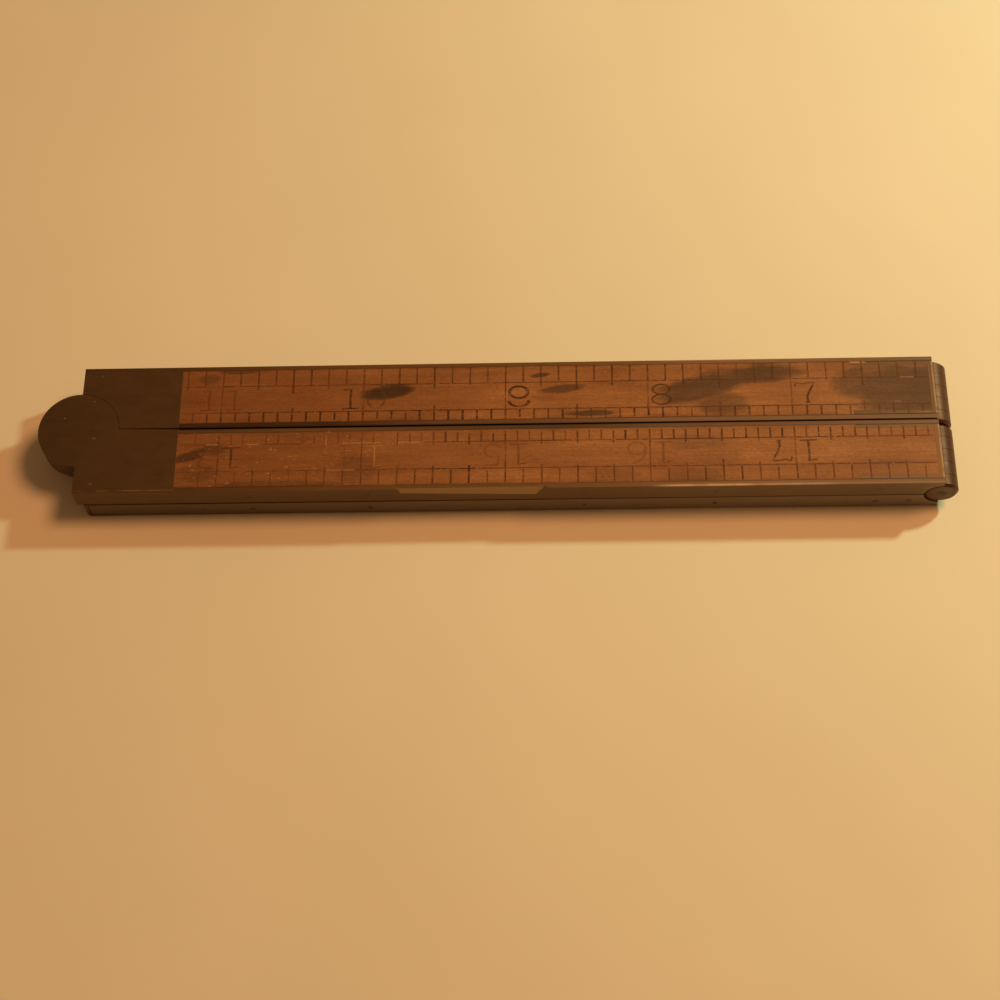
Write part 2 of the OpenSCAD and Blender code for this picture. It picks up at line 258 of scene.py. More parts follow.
def wood_group():
    """Colour, roughness and height of old stained boxwood."""
    group = bpy.data.node_groups.new("boxwood", "ShaderNodeTree")
    for name, kind in (("Color", "NodeSocketColor"), ("Roughness", "NodeSocketFloat"),
                       ("Height", "NodeSocketFloat")):
        group.interface.new_socket(name, in_out="OUTPUT", socket_type=kind)
    p = Paint(group)
    at = LegPlace(p)

    # Grain: fine fibres along the leg over faint growth bands that wander a little
    wander = p.noise(p.stretch(at.point, 0.025, 0.09, 0.09), detail=2)
    bend = p.math("MULTIPLY", p.math("SUBTRACT", wander, 0.5), 3.0)
    offset = p.add("ShaderNodeCombineXYZ", {"Y": bend, "Z": bend})
    moved = p.add("ShaderNodeVectorMath", {0: at.point, 1: offset.outputs[0]}, operation="ADD")
    warped = moved.outputs[0]
    fine = p.noise(p.stretch(warped, 0.09, 3.4, 3.4), detail=4, rough=0.7)
    band = p.noise(p.stretch(warped, 0.012, 0.45, 0.45), detail=3)
    patch = p.noise(p.stretch(at.point, 0.06, 0.16, 0.16), detail=4, rough=0.6)
    speckle = p.noise(p.stretch(at.point, 1.6, 4.5, 4.5), detail=3, rough=0.75)
    tone = p.math("MULTIPLY_ADD", fine, 0.19, p.math("MULTIPLY", band, 0.20))
    tone = p.math("MULTIPLY_ADD", patch, 0.28, tone)
    tone = p.math("MULTIPLY_ADD", speckle, 0.33, tone)
    colour = p.ramp(tone, ((0.38, srgb(118, 72, 38)), (0.465, srgb(141, 91, 52)),
                           (0.535, srgb(153, 100, 59)), (0.62, srgb(174, 121, 80))))

    # Short dark pores
    pores = p.step(p.noise(p.stretch(warped, 0.42, 5.2, 5.2), detail=2, rough=0.7), 0.64, 0.74)
    colour = p.mix(p.math("MULTIPLY", pores, 0.35), colour, srgb(92, 50, 24))

    # Handling has darkened the wood towards the joint, and dirt gathers beside the brass
    far = p.math("MULTIPLY", p.step(at.s, 126, 146), p.math("MULTIPLY_ADD", at.front, 0.22, 0.15))
    handled = p.math("MAXIMUM", p.step(at.s, 88, 14), far)
    colour = p.mix(p.math("MULTIPLY", handled, 0.42), colour, srgb(98, 54, 26))
    grime = p.noise(p.stretch(at.point, 0.16, 0.42, 0.42), detail=4, rough=0.65)
    brass_in = BINDING / MM
    brass_out = (LEG_W - BINDING) / MM
    inner_rim = p.math("MULTIPLY", p.step(at.w, brass_in + 1.0, brass_in),
                       p.math("MULTIPLY_ADD", at.front, -0.5, 1.0))
    rim = p.math("MAXIMUM", inner_rim, p.step(at.w, brass_out - 0.8, brass_out))
    rim = p.math("MULTIPLY", rim, p.step(grime, 0.35, 0.65))
    colour = p.mix(p.math("MULTIPLY", rim, 0.52), colour, srgb(84, 48, 26))
    line = p.math("MAXIMUM", p.step(at.w, brass_in + 0.20, brass_in + 0.05),
                  p.step(at.w, brass_out - 0.20, brass_out - 0.05))
    colour = p.mix(p.math("MULTIPLY", line, 0.55), colour, srgb(52, 26, 12))
    blotch = p.step(p.noise(p.stretch(at.point, 0.09, 0.26, 0.26), detail=5, rough=0.7), 0.56, 0.74)
    rubbed = p.math("MULTIPLY", p.math("MULTIPLY", at.front, at.upper), p.step(at.s, 72, 40))
    blotched = p.math("MULTIPLY", blotch, p.math("MULTIPLY_ADD", rubbed, 0.16, 0.20))
    colour = p.mix(blotched, colour, srgb(92, 52, 30))

    # Smudges, each a soft ellipse with a ragged, streaky edge
    ragged = p.noise(p.stretch(at.point, 0.22, 0.62, 0.62), detail=5, rough=0.66)
    streak = p.noise(p.stretch(at.point, 0.07, 1.7, 1.7), detail=3)
    fray = p.math("MULTIPLY_ADD", p.math("SUBTRACT", ragged, 0.5), 1.5,
                  p.math("MULTIPLY", p.math("SUBTRACT", streak, 0.5), 0.5))
    smudge = 0.0
    for leg, s, w, half_l, half_w, tilt, strength in STAINS:
        c, d = math.cos(math.radians(tilt)), math.sin(math.radians(tilt))
        ds = p.math("SUBTRACT", at.s, s)
        dw = p.math("SUBTRACT", at.w, w)
        u = p.math("MULTIPLY_ADD", ds, c / half_l, p.math("MULTIPLY", dw, d / half_l))
        v = p.math("MULTIPLY_ADD", dw, c / half_w, p.math("MULTIPLY", ds, -d / half_w))
        r2 = p.math("MULTIPLY_ADD", u, u, p.math("MULTIPLY_ADD", v, v, fray))
        spot = p.math("MULTIPLY", p.step(r2, 1.35, 0.35), strength)
        on_side = at.front if leg > 2 else p.math("SUBTRACT", 1.0, at.front)
        on_layer = at.upper if leg in (2, 3) else p.math("SUBTRACT", 1.0, at.upper)
        spot = p.math("MULTIPLY", spot, p.math("MULTIPLY", on_side, on_layer))
        smudge = p.math("MAXIMUM", smudge, spot)
    colour = p.mix(smudge, colour, p.mix(1.0, colour, (0.37, 0.41, 0.49, 1), "MULTIPLY"))
    core = p.math("SUBTRACT", smudge, 1.0, clamp=True)
    colour = p.mix(core, colour, srgb(30, 18, 10))

    # Pale scratches and nicks, thickest on leg 3 near the joint
    scratch = p.noise(p.stretch(at.point, 0.16, 5.0, 5.0, turn=0.04), detail=2)
    where = p.noise(p.stretch(at.point, 0.08, 0.3, 0.3, shift=(3, 1, 0)), detail=3)
    where = p.step(p.math("MULTIPLY_ADD", rubbed, 0.14, where), 0.54, 0.68)
    pale = p.math("MULTIPLY", p.step(scratch, 0.66, 0.76), where)
    nick_noise = p.noise(p.stretch(at.point, 1.1, 2.1, 2.1), detail=2, rough=0.6)
    nick = p.step(p.math("MULTIPLY_ADD", rubbed, 0.08, nick_noise), 0.72, 0.80)
    pale = p.math("MAXIMUM", p.math("MULTIPLY", pale, 0.42), p.math("MULTIPLY", nick, 0.45))
    colour = p.mix(pale, colour, srgb(200, 154, 102))

    rough = p.math("MULTIPLY_ADD", grime, 0.25, 0.40)
    height = p.math("MULTIPLY_ADD", fine, 0.6, p.math("MULTIPLY", pores, -0.8))
    height = p.math("MULTIPLY_ADD", grime, 0.5, p.math("MULTIPLY_ADD", pale, -0.6, height))
    out = p.add("NodeGroupOutput")
    for socket, value in zip(out.inputs, (colour, rough, height)):
        p.plug(socket, value)
    return group


WOOD = wood_group()


def boxwood():
    material, p, shader = new_material("boxwood")
    wood = p.add("ShaderNodeGroup", node_tree=WOOD)
    p.plug(shader.inputs["Base Color"], wood.outputs["Color"])
    p.plug(shader.inputs["Roughness"], wood.outputs["Roughness"])
    p.plug(shader.inputs["Normal"], p.bump(wood.outputs["Height"], 0.3, 0.05 * MM))
    shader.inputs["Specular IOR Level"].default_value = 0.3
    return material


def ink(name, colour, cover):
    """Engraved, ink-filled lines: worn patches show the wood again."""
    material, p, shader = new_material(name)
    wood = p.add("ShaderNodeGroup", node_tree=WOOD)
    wear = p.noise(p.stretch(LegPlace(p).point, 0.8, 1.1, 1.1), detail=3, rough=0.7)
    keep = p.math("MULTIPLY", p.math("MULTIPLY_ADD", p.step(wear, 0.64, 0.42), 0.45, 0.55), cover)
    p.plug(shader.inputs["Base Color"], p.mix(keep, wood.outputs["Color"], colour))
    shader.inputs["Roughness"].default_value = 0.6
    shader.inputs["Specular IOR Level"].default_value = 0.2
    p.plug(shader.inputs["Normal"], p.bump(wear, 0.3, 0.04 * MM))
    return material


def along_tone(p, at, tones):
    """A colour that changes along the leg. tones holds (distance from the joint, colour)."""
    first, last = tones[0][0], tones[-1][0]
    along = p.math("DIVIDE", p.math("SUBTRACT", at.s, first), last - first)
    return p.ramp(along, [((s - first) / (last - first), srgb(*c)) for s, c in tones])


def brass(name, tones, metal, wear=()):
    """Brown patina over brass. tones are colours along the leg; wear says where it is rubbed and dirty,
    and where highlights and shade are painted.

    tones holds (distance from the joint, colour), and wear is a function that takes the
    paint and the place and returns (mask, colour, metal) for each rubbed or dirty region and each
    painted highlight or painted shade.
    """
    material, p, shader = new_material(name)
    at = LegPlace(p)
    colour = along_tone(p, at, tones)
    patch = p.noise(p.stretch(at.point, 0.22, 0.40, 0.40), detail=5, rough=0.65)
    speck = p.noise(p.stretch(at.point, 1.8, 2.4, 2.4), detail=3, rough=0.8)
    brushed = p.noise(p.stretch(at.point, 0.10, 4.2, 4.2), detail=2)
    shade = p.math("MULTIPLY_ADD", patch, 0.45, p.math("MULTIPLY_ADD", brushed, 0.25, 0.65))
    grey = p.add("ShaderNodeCombineXYZ", {"X": shade, "Y": shade, "Z": shade}).outputs[0]
    colour = p.mix(1.0, colour, grey, "MULTIPLY")
    colour = p.mix(p.math("MULTIPLY", p.step(speck, 0.60, 0.74), 0.30), colour, srgb(40, 26, 14))
    metallic = metal
    if wear:
        for mask, worn, worn_metal in wear(p, at, patch):
            colour = p.mix(mask, colour, worn)
            metallic = p.math("MULTIPLY_ADD", p.math("SUBTRACT", worn_metal, metallic), mask, metallic)
    p.plug(shader.inputs["Base Color"], colour)
    p.plug(shader.inputs["Metallic"], metallic)
    p.plug(shader.inputs["Roughness"], p.math("MULTIPLY_ADD", patch, 0.24, 0.36))
    height = p.math("MULTIPLY_ADD", speck, 0.35, p.math("MULTIPLY_ADD", patch, 0.6, brushed))
    p.plug(shader.inputs["Normal"], p.bump(height, 0.25, 0.04 * MM))
    return material


# Rubbed brass with a painted highlight, for the arris at each leg's end
BRIGHT = srgb(192, 154, 114)
# Painted shade for the seams, gaps and shadow lines, also used for dark joint lines
GAP_SHADE_AND_DIRT = srgb(38, 22, 10)


def face_depth(p, at):
    """Depth in mm below the nearer of the two outer faces, top and bottom."""
    return p.math("MINIMUM", at.up, p.math("SUBTRACT", TOP_Z / MM, at.up))


def from_binding(p, at):
    """Distance in mm across the leg from the nearer joint between a binding and the wood."""
    inner = p.math("ABSOLUTE", p.math("SUBTRACT", at.w, BINDING / MM))
    outer = p.math("ABSOLUTE", p.math("SUBTRACT", at.w, (LEG_W - BINDING) / MM))
    return p.math("MINIMUM", inner, outer)


def outer_arris(p, at, width):
    """1 along the long outer arris of a leg, top or bottom, fading over width mm."""
    sideways = p.math("SUBTRACT", LEG_W / MM, at.w)
    return p.step(p.math("MAXIMUM", sideways, face_depth(p, at)), width, 0.04)


# Colours of the bindings, as (distance from the joint, colour): the sides of the lower legs,
# then the strips that show on the faces
LOWER_SIDE = ((18, (104, 89, 68)), (45, (113, 97, 78)), (85, (120, 104, 84)), (105, (128, 113, 93)),
              (150, (134, 120, 100)))
OUTER_STRIP = ((18, (90, 62, 30)), (25, (95, 64, 31)), (45, (110, 76, 40)), (85, (113, 80, 45)),
               (105, (124, 91, 60)), (125, (127, 95, 68)), (135, (119, 87, 61)), (150, (110, 82, 58)))
REAR_INNER_STRIP = ((18, (62, 33, 6)), (45, (68, 37, 8)), (65, (99, 70, 44)), (85, (106, 74, 49)),
                    (105, (123, 92, 69)), (125, (120, 87, 61)), (150, (110, 80, 58)))
FRONT_INNER_STRIP = ((18, (90, 62, 34)), (45, (108, 77, 44)), (65, (94, 67, 39)), (85, (79, 54, 30)),
                     (105, (100, 75, 56)), (125, (107, 76, 55)), (150, (107, 82, 64)))


def grip_mask(p, at):
    """1 on the filed face of the thumb grip in leg 3's outer binding."""
    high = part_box("leg_3_outer_binding")[1][2] / MM
    inset = p.math("SUBTRACT", LEG_W / MM, at.w)
    facet = p.math("MULTIPLY", p.step(inset, 0.010, 0.030), p.step(at.up, high, high - 0.04))
    facet = p.math("MULTIPLY", facet, p.step(at.up, UPPER_Z / MM + 1.0, UPPER_Z / MM + 1.2))
    facet = p.math("MULTIPLY", facet, p.math("MULTIPLY", at.front, at.upper))
    ends = p.math("MULTIPLY", p.step(at.s, 55.4, 56.4), p.step(at.s, 84.4, 83.4))
    facet = p.math("MULTIPLY", facet, ends)
    return p.math("MULTIPLY", facet, p.step(inset, 0.56, 0.52))


def binding_dirt(p, at):
    """Painted shade in the seam between the layers and along the gap between the legs, both fading away
    from the joint, and a dark line at the joints with the wood.
    """
    seam = p.step(p.math("ABSOLUTE", p.math("SUBTRACT", at.up, MIDDLE_Z / MM)), 0.42, 0.12)
    seam = p.math("MULTIPLY", seam, p.step(at.s, 130, 20))
    inner_edge = p.math("MULTIPLY", p.step(at.w, 0.30, 0.05), p.step(at.s, 140, 30))
    beside = p.math("MULTIPLY", p.step(from_binding(p, at), 0.10, 0.02), 0.6)
    return p.math("MAXIMUM", p.math("MAXIMUM", seam, inner_edge), beside)


def binding_wear(p, at, patch):
    """The tones of the strips, then the rubbed outer arris with a painted highlight, the thumb grip,
    rubbed and partly painted light, and painted shade in the seam and beside the gap, with dark joint
    lines.
    """
    rear = p.math("SUBTRACT", 1.0, at.front)
    yield p.math("SUBTRACT", 1.0, at.upper), along_tone(p, at, LOWER_SIDE), 0.35
    on_face = p.step(face_depth(p, at), 0.16, 0.04)
    yield on_face, along_tone(p, at, OUTER_STRIP), 0.35
    inner = p.math("MULTIPLY", on_face, p.math("LESS_THAN", at.w, 2.0))
    yield p.math("MULTIPLY", inner, rear), along_tone(p, at, REAR_INNER_STRIP), 0.2
    yield p.math("MULTIPLY", inner, at.front), along_tone(p, at, FRONT_INNER_STRIP), 0.2
    # The arris is rubbed and carries a painted highlight from 106 mm on: bright to 117 mm, paler to 130
    # mm, hardly beyond
    bright = p.math("MULTIPLY_ADD", p.step(at.s, 121, 117), 0.24, 0.10)
    bright = p.math("MULTIPLY_ADD", p.step(at.s, 135, 130), 0.28, bright)
    along = p.math("MULTIPLY", p.step(at.s, 101, 106), bright)
    ragged = p.math("MULTIPLY_ADD", p.step(patch, 0.34, 0.56), 0.35, 0.65)
    arris = p.math("MULTIPLY", p.math("MULTIPLY", outer_arris(p, at, 0.48), along), ragged)
    # Rubbed brass and painted highlight together, stronger on the front legs than on the rear ones
    arris = p.math("MULTIPLY", arris, p.math("MULTIPLY_ADD", at.front, 0.6, 0.4))
    yield arris, srgb(232, 198, 166), 0.15
    # The filed face of the thumb grip: bare, rubbed brass, and partly painted light, paler as if its
    # slope caught more light
    yield p.math("MULTIPLY", grip_mask(p, at), 0.85), srgb(172, 142, 98), 0.4
    # Painted shade in the seam and beside the gap between the legs, and dark lines at the joints with
    # the wood
    yield p.math("MULTIPLY", binding_dirt(p, at), 0.8), GAP_SHADE_AND_DIRT, 0.1


def yoke_wear(p, at, patch):
    """A bright arris at the end of each leg, rubbed and with a painted highlight, a golden arm end,
    painted shadow lines at the joints of the arms and the bindings, and dark barrels.
    """
    depth = face_depth(p, at)
    rear = p.math("SUBTRACT", 1.0, at.front)
    on_face = p.step(depth, 0.16, 0.04)
    yield p.math("MULTIPLY", on_face, rear), srgb(104, 74, 48), 0.25
    yield p.math("MULTIPLY", on_face, at.front), srgb(118, 82, 51), 0.25
    # The arris at the leg's end: rubbed brass with a painted highlight, as if a bevel caught the light
    end = p.step(at.s, HINGE / MM - 0.42, HINGE / MM - 0.22)
    end = p.math("MULTIPLY", end, p.step(depth, 0.5, 0.3))
    end = p.math("MULTIPLY", end, p.step(patch, 0.30, 0.52))
    yield p.math("MULTIPLY", end, 0.48), BRIGHT, 0.45
    # Painted shadow: dark lines along the joints between the arms and the bindings, as if they stood
    # apart
    yield p.math("MULTIPLY", p.step(from_binding(p, at), 0.22, 0.08), 0.9), GAP_SHADE_AND_DIRT, 0.1
    outer_half = p.step(at.w, (LEG_W - BINDING) / MM - 0.45, (LEG_W - BINDING) / MM - 0.35)
    golden = p.step(at.s, ARM_START / MM + 3.2, ARM_START / MM + 2.2)
    golden = p.math("MULTIPLY", golden, outer_half)
    golden = p.math("MULTIPLY", golden, p.math("MULTIPLY", rear, at.upper))
    yield p.math("MULTIPLY", golden, 0.8), srgb(172, 132, 82), 0.45
    from_pin = p.add("ShaderNodeCombineXYZ", {"X": p.math("SUBTRACT", at.s, HINGE / MM),
                                              "Y": p.math("SUBTRACT", at.up, MIDDLE_Z / MM)})
    radius = p.add("ShaderNodeVectorMath", {0: from_pin.outputs[0]}, operation="LENGTH")
    barrel = p.math("MAXIMUM", p.step(radius.outputs["Value"], 3.14, 3.04),
                    p.step(at.s, HINGE / MM - 0.06, HINGE / MM))
    on_top = p.step(at.up, MIDDLE_Z / MM + 1.0, MIDDLE_Z / MM + 2.6)
    on_top = p.math("MULTIPLY", p.math("MULTIPLY", on_top, at.front), 0.6)
    yield barrel, p.mix(on_top, srgb(84, 50, 27), srgb(64, 33, 15)), 0.4
    end_face = p.step(at.w, LEG_W / MM - 0.20, LEG_W / MM - 0.05)
    yield p.math("MULTIPLY", barrel, end_face), srgb(98, 66, 38), 0.35


def plate_wear(p, at, patch):
    """A thin rubbed line along the front of the plates with a painted highlight, and a few painted
    glints by the pivot.
    """
    # The rubbed front edge of the plates, brightened as a painted highlight
    from_line = p.math("ABSOLUTE", p.math("SUBTRACT", at.w, LEG_W / MM - 0.42))
    front_line = p.math("MULTIPLY", p.step(from_line, 0.16, 0.05), p.step(patch, 0.38, 0.60))
    yield p.math("MULTIPLY", p.math("MULTIPLY", front_line, at.front), 0.5), srgb(170, 132, 84), 0.6
    # Painted glints: a few bright specks on the plates by the pivot
    dots = p.noise(p.stretch(at.point, 0.9, 0.9, 0.9, shift=(0.4, 0.2, 0)), detail=1)
    glints = p.math("MULTIPLY", p.step(dots, 0.745, 0.78), p.step(at.s, 6.0, 4.0))
    yield p.math("MULTIPLY", glints, 0.4), srgb(170, 132, 92), 0.4


def steel():
    material, p, shader = new_material("browned_steel")
    rust = p.noise(p.stretch(LegPlace(p).point, 0.9, 0.9, 0.9), detail=4, rough=0.7)
    colour = p.ramp(rust, ((0.35, srgb(92, 78, 64)), (0.6, srgb(70, 46, 30))))
    p.plug(shader.inputs["Base Color"], colour)
    p.plug(shader.inputs["Roughness"], p.math("MULTIPLY_ADD", rust, 0.4, 0.3))
    p.plug(shader.inputs["Normal"], p.bump(rust, 0.3, 0.05 * MM))
    shader.inputs["Metallic"].default_value = 0.7
    return material


WOOD_MATERIAL = boxwood()
STEEL_MATERIAL = steel()
BINDING_MATERIAL = brass("binding_brass", ((10, (97, 72, 44)), (60, (100, 77, 50)), (90, (104, 80, 54)),
                                           (110, (115, 92, 67)), (150, (117, 96, 74))),
                         0.35, binding_wear)
YOKE_MATERIAL = brass("yoke_brass", ((130, (106, 75, 47)), (150, (110, 79, 51)), (152, (112, 82, 54))),
                      0.35, yoke_wear)
PLATE_MATERIAL = brass("plate_brass", ((-8, (75, 53, 30)), (1, (81, 58, 33)), (18, (85, 61, 34))),
                       0.3, plate_wear)
TIP_MATERIAL = brass("tip_brass", ((0, (96, 72, 44)), (20, (112, 86, 54))), 0.5)
PIN_MATERIAL = brass("pin_brass", ((10, (84, 62, 38)), (110, (102, 80, 54)), (150, (116, 94, 68))), 0.4)

# Engraved lines: the ink's colour, and how much of it is left
INKS = {tone: ink(f"scale_{tone}", colour, cover) for tone, colour, cover in (
    ("dark", srgb(62, 34, 16), 0.92), ("brown", srgb(74, 42, 21), 0.86),
    ("soft", srgb(86, 50, 26), 0.76), ("faint", srgb(96, 57, 31), 0.60),
    ("ghost", srgb(96, 57, 31), 0.36), ("pale", srgb(200, 156, 108), 0.42))}


def arris_group():
    """Gives the long arrises a bevel weight, and keeps every other corner sharp."""
    group = bpy.data.node_groups.new("arrises", "GeometryNodeTree")
    group.interface.new_socket("Geometry", in_out="INPUT", socket_type="NodeSocketGeometry")
    group.interface.new_socket("Geometry", in_out="OUTPUT", socket_type="NodeSocketGeometry")
    p = Paint(group)
    ends = p.add("GeometryNodeInputMeshEdgeVertices").outputs
    span = p.add("ShaderNodeVectorMath", {0: ends["Position 1"], 1: ends["Position 2"]},
                 operation="DISTANCE")
    angle = p.add("GeometryNodeInputMeshEdgeAngle").outputs[0]
    turned = p.math("GREATER_THAN", angle, math.radians(35))
    is_long = p.math("GREATER_THAN", span.outputs["Value"], 0.6 * MM)
    across = p.math("ABSOLUTE", p.axes(p.add("GeometryNodeInputPosition").outputs[0])[1])
    edge = p.math("MAXIMUM", p.math("GREATER_THAN", across, EDGE_Y - 0.01 * MM),
                  p.math("LESS_THAN", across, INNER_Y + 0.01 * MM))
    rounded = p.math("MULTIPLY", turned, is_long)
    weight = p.math("MULTIPLY", rounded, p.math("MULTIPLY_ADD", edge, 0.8, 0.2))
    sharp = p.math("SUBTRACT", turned, rounded)
    geometry = p.add("NodeGroupInput").outputs[0]
    for name, kind, value in (("bevel_weight_edge", "FLOAT", weight),
                              ("sharp_edge", "BOOLEAN", sharp)):
        store = p.add("GeometryNodeStoreNamedAttribute", data_type=kind, domain="EDGE")
        store.inputs["Name"].default_value = name
        p.plug(store.inputs["Value"], value)
        p.plug(store.inputs["Geometry"], geometry)
        geometry = store.outputs[0]
    p.plug(p.add("NodeGroupOutput").inputs[0], geometry)
    return group


ARRISES = arris_group()


def soften(obj, width):
    """Welds the imported mesh, joins its flat faces and rounds its long arrises by width mm."""
    weld = obj.modifiers.new("weld", "WELD")
    weld.merge_threshold = 0.001 * MM
    flat = obj.modifiers.new("flat", "DECIMATE")
    flat.decimate_type = "DISSOLVE"
    flat.angle_limit = math.radians(0.5)
    marks = obj.modifiers.new("marks", "NODES")
    marks.node_group = ARRISES
    bevel = obj.modifiers.new("arris", "BEVEL")
    bevel.width = width * MM
    bevel.segments = 2
    bevel.limit_method = "WEIGHT"
    bevel.use_clamp_overlap = False
    normal = obj.modifiers.new("normals", "WEIGHTED_NORMAL")
    normal.keep_sharp = True


def dress(obj, material):
    obj.data.materials.clear()
    obj.data.materials.append(material)


# The finish of each kind of CAD node: part of its name, its material, and its rounding in mm.
# The first match counts. Leg 3's outer binding stays sharp because of its thumb grip.
FINISHES = (
    ("boxwood", WOOD_MATERIAL, 0),
    ("_binding_pins", PIN_MATERIAL, 0),
    ("leg_3_outer_binding", BINDING_MATERIAL, 0),
    ("_binding", BINDING_MATERIAL, 0.2),
    ("hinge_pin", STEEL_MATERIAL, 0),
    ("closing_pin", STEEL_MATERIAL, 0),
    ("joint_rivets", PLATE_MATERIAL, 0),
    ("yoke_rivets", PIN_MATERIAL, 0),
    ("tip_rivets", TIP_MATERIAL, 0),
    ("hinge_yoke", YOKE_MATERIAL, 0.15),
    ("end_tip", TIP_MATERIAL, 0.15),
    ("joint", PLATE_MATERIAL, 0.2),
)


def dress_cad():
    for name, obj in frame["nodes"].items():
        material, width = next((m, w) for part, m, w in FINISHES if part in name)
        dress(obj, material)
        if width:
            soften(obj, width)


dress_cad()


# ---- Scale marks and figures ----

INK_DEPTH = 0.05 * MM
INK_PROUD = 0.006 * MM
INK_LAYER = 0.0012 * MM


class Face:
    """One long face of a leg. s is the distance from the joint axis, w from the inner edge."""

    def __init__(self, leg, z, outward):
        self.leg = leg
        self.z = z
        self.outward = outward
        self.side = side_of(leg)
        self.marks = {}

    def point(self, s, w, height):
        return (PIVOT_X + s, self.side * (INNER_Y + w), self.z + self.outward * height)

    def mesh(self, tone):
        if tone not in self.marks:
            self.marks[tone] = bmesh.new()
        return self.marks[tone]

    def ribbon(self, tone, points, widths, closed=False, layer=0):
        """A flat-topped strip along points (s, w), sunk into the face.

        Strips that cross are given different layers, so that their tops don't coincide.
        """
        bm = self.mesh(tone)
        proud = INK_PROUD + layer * INK_LAYER
        count = len(points)
        rows = []
        for i, (s, w) in enumerate(points):
            before = points[i - 1] if closed or i else points[i]
            after = points[(i + 1) % count] if closed or i < count - 1 else points[i]
            ds, dw = after[0] - before[0], after[1] - before[1]
            length = math.hypot(ds, dw) or 1.0
            half = widths[i] / 2
            ns, nw = -dw / length * half, ds / length * half
            rows.append([bm.verts.new(self.point(s + ns * k, w + nw * k, h))
                         for k, h in ((1, proud), (-1, proud), (-1, -INK_DEPTH), (1, -INK_DEPTH))])
        spans = count if closed else count - 1
        for i in range(spans):
            a, b = rows[i], rows[(i + 1) % count]
            for k in range(4):
                bm.faces.new((a[k], a[(k + 1) % 4], b[(k + 1) % 4], b[k]))
        if not closed:
            bm.faces.new(rows[0])
            bm.faces.new(list(reversed(rows[-1])))

    def finish(self, label):
        for tone, bm in self.marks.items():
            bmesh.ops.recalc_face_normals(bm, faces=bm.faces)
            mesh = bpy.data.meshes.new(f"leg_{self.leg}_{label}_{tone}")
            bm.to_mesh(mesh)
            bm.free()
            obj = bpy.data.objects.new(mesh.name, mesh)
            bpy.context.scene.collection.objects.link(obj)
            obj.data.materials.append(INKS[tone])
            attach(obj, f"leg_{self.leg}")


def arc(cx, cy, rx, ry, start, end, count=14):
    """Points along an ellipse, angles in degrees, anticlockwise if end is larger."""
    points = []
    for i in range(count + 1):
        a = math.radians(start + (end - start) * i / count)
        points.append((cx + rx * math.cos(a), cy + ry * math.sin(a)))
    return points


# Each figure is a list of strokes in a box one unit high: (points, closed)
FIGURES = {
    "0": ((arc(0.39, 0.5, 0.37, 0.5, 0, 345, 23), True),),
    "1": (([(0.06, 0.95), (0.24, 0.96), (0.40, 1.0), (0.38, 0.5), (0.40, 0.0)], False),
          ([(0.02, 0.0), (0.76, 0.02)], False)),
    "2": ((arc(0.38, 0.72, 0.34, 0.28, 165, -35)
           + [(0.30, 0.25), (0.02, 0.0), (0.76, 0.0), (0.80, 0.12)], False),),
    "3": ((arc(0.36, 0.76, 0.30, 0.24, 150, -80), False),
          (arc(0.37, 0.27, 0.36, 0.27, 82, -155), False)),
    "4": (([(0.56, 0.0), (0.56, 1.0), (0.0, 0.30)], False),
          ([(0.0, 0.30), (0.78, 0.30)], False),
          ([(0.36, 0.0), (0.76, 0.0)], False)),
    "5": (([(0.70, 1.0), (0.16, 1.0), (0.10, 0.55)], False),
          (arc(0.37, 0.31, 0.36, 0.31, 128, -150), False)),
    "6": ((arc(0.39, 0.30, 0.37, 0.30, 0, 345, 23), True),
          (arc(0.62, 0.38, 0.60, 0.62, 180, 92), False)),
    "7": (([(0.0, 0.80), (0.05, 0.98), (0.30, 0.92), (0.55, 0.97), (0.80, 0.98),
            (0.74, 0.80), (0.60, 0.55), (0.50, 0.28), (0.52, 0.0)], False),
          ([(0.42, 0.0), (0.62, 0.02)], False)),
    "8": ((arc(0.40, 0.76, 0.37, 0.24, 0, 345, 23), True),
          (arc(0.40, 0.25, 0.40, 0.25, 0, 345, 23), True)),
    "9": ((arc(0.41, 0.71, 0.40, 0.29, 0, 345, 23), True),
          (arc(0.41, 0.28, 0.43, 0.28, 178, 362), False)),
}

# Which tone each figure of a number keeps on the outer faces; the others keep USUAL_TONES
FIGURE_TONES = {
    7: ("brown",), 8: ("brown",), 9: ("dark",), 10: ("dark", "faint"), 11: ("faint", "faint"),
    13: ("brown", "faint"), 14: ("pale", "ghost"), 15: ("faint", "ghost"), 16: ("faint", "ghost"),
    17: ("brown", "brown"),
}
USUAL_TONES = ("soft", "soft")
# The thickest stroke of a number's figures, and what share of it the thinnest has
STROKES = {9: 0.60 * MM, 14: 0.25 * MM}
USUAL_STROKE = 0.43 * MM
THIN_SHARE = 0.6
FIGURE_HEIGHT = 4.1 * MM
# The middle of the figures, from the inner edge, and how far each lies beside its inch line
FIGURE_AT = {1: 5.5 * MM, 2: 5.5 * MM, 3: 5.9 * MM, 4: 5.9 * MM}
FIGURE_SHIFT = 2.3 * MM
# The u of a figure's middle, in its box
FIGURE_MIDDLE = 0.39
# Widths of the long lines, and the usual length of the pieces that they have worn into
ROW_LINE = 0.22 * MM
INCH_LINE = 0.24 * MM
RUB_LINE = 0.14 * MM
PIECE_LENGTH = 2.4 * MM
# The bare wood between the rows' ends and the fittings: the plate or tip, and the hinge's end
START_GAP = 0.3 * MM
END_GAP = 1.2 * MM


